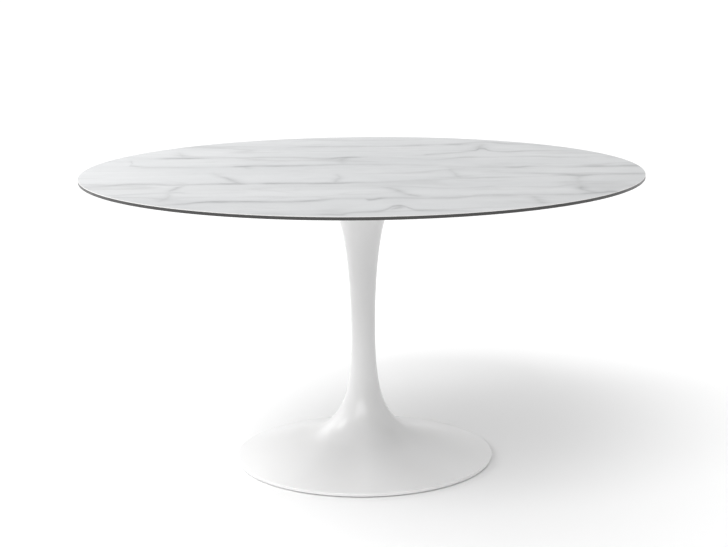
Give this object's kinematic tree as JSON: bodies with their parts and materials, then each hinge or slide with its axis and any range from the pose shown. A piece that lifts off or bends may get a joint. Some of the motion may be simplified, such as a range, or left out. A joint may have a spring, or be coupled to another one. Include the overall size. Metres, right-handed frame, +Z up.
{
  "type": "round pedestal table",
  "caption": "Round table with a thin marble-look top with a dark edge, on a white trumpet-shaped pedestal that flares into a wide low foot with levelling glides.",
  "frame": {"origin": "on the floor, in the middle of the base, under the pedestal's axis", "axes": "+Z up along the pedestal's axis; +X to the right and -Y towards a person in front, but the table is round"},
  "size_m": [1.37, 1.37, 0.73],
  "materials": {
    "marble_laminate": "satin",
    "black_core": "satin",
    "black_backing": "matte",
    "white_lacquer": "gloss",
    "black_powder_coat": "matte",
    "cast_iron": "matte",
    "zinc_steel": "satin",
    "brass": "satin",
    "black_nylon": "matte"
  },
  "bodies": {
    "table": {"tabletop_face": "marble_laminate", "tabletop_core": "black_core", "tabletop_backer": "black_backing", "mounting_plate": "black_powder_coat", "pedestal_shell": "white_lacquer", "base_weight": "cast_iron", "tie_rod": "zinc_steel", "hub_lock_nut": "zinc_steel", "base_washer": "zinc_steel", "base_nut": "zinc_steel", "thread_insert_1": "brass", "plate_screw_1": "zinc_steel", "plate_washer_1": "zinc_steel", "thread_insert_2": "brass", "plate_screw_2": "zinc_steel", "plate_washer_2": "zinc_steel", "thread_insert_3": "brass", "plate_screw_3": "zinc_steel", "plate_washer_3": "zinc_steel", "thread_insert_4": "brass", "plate_screw_4": "zinc_steel", "plate_washer_4": "zinc_steel", "thread_insert_5": "brass", "plate_screw_5": "zinc_steel", "plate_washer_5": "zinc_steel", "thread_insert_6": "brass", "plate_screw_6": "zinc_steel", "plate_washer_6": "zinc_steel", "thread_insert_7": "brass", "plate_screw_7": "zinc_steel", "plate_washer_7": "zinc_steel", "thread_insert_8": "brass", "plate_screw_8": "zinc_steel", "plate_washer_8": "zinc_steel"},
    "glide_foot_1": {"glide_pad_1": "black_nylon"},
    "glide_screw_1": {"glide_stud_1": "zinc_steel"},
    "glide_foot_2": {"glide_pad_2": "black_nylon"},
    "glide_screw_2": {"glide_stud_2": "zinc_steel"},
    "glide_foot_3": {"glide_pad_3": "black_nylon"},
    "glide_screw_3": {"glide_stud_3": "zinc_steel"},
    "glide_foot_4": {"glide_pad_4": "black_nylon"},
    "glide_screw_4": {"glide_stud_4": "zinc_steel"}
  },
  "joints": [
    {"name": "glide_1_height", "type": "slide", "parent": "table", "child": "glide_foot_1", "axis": [0, 0, 1], "range_m": [-0.008, 0]},
    {"name": "glide_1_turn", "type": "hinge", "parent": "glide_foot_1", "child": "glide_screw_1", "pos_m": [0.17678, 0.17678, 0.013], "axis": [0, 0, 1], "range_deg": [-2304.1, 0]},
    {"name": "glide_2_height", "type": "slide", "parent": "table", "child": "glide_foot_2", "axis": [0, 0, 1], "range_m": [-0.008, 0]},
    {"name": "glide_2_turn", "type": "hinge", "parent": "glide_foot_2", "child": "glide_screw_2", "pos_m": [-0.17678, 0.17678, 0.013], "axis": [0, 0, 1], "range_deg": [-2304.1, 0]},
    {"name": "glide_3_height", "type": "slide", "parent": "table", "child": "glide_foot_3", "axis": [0, 0, 1], "range_m": [-0.008, 0]},
    {"name": "glide_3_turn", "type": "hinge", "parent": "glide_foot_3", "child": "glide_screw_3", "pos_m": [-0.17678, -0.17678, 0.013], "axis": [0, 0, 1], "range_deg": [-2304.1, 0]},
    {"name": "glide_4_height", "type": "slide", "parent": "table", "child": "glide_foot_4", "axis": [0, 0, 1], "range_m": [-0.008, 0]},
    {"name": "glide_4_turn", "type": "hinge", "parent": "glide_foot_4", "child": "glide_screw_4", "pos_m": [0.17678, -0.17678, 0.013], "axis": [0, 0, 1], "range_deg": [-2304.1, 0]}
  ],
  "couplings": [
    {"joint": "glide_1_turn", "follows": "glide_1_height", "rad_per_m": 5026.5},
    {"joint": "glide_2_turn", "follows": "glide_2_height", "rad_per_m": 5026.5},
    {"joint": "glide_3_turn", "follows": "glide_3_height", "rad_per_m": 5026.5},
    {"joint": "glide_4_turn", "follows": "glide_4_height", "rad_per_m": 5026.5}
  ]
}
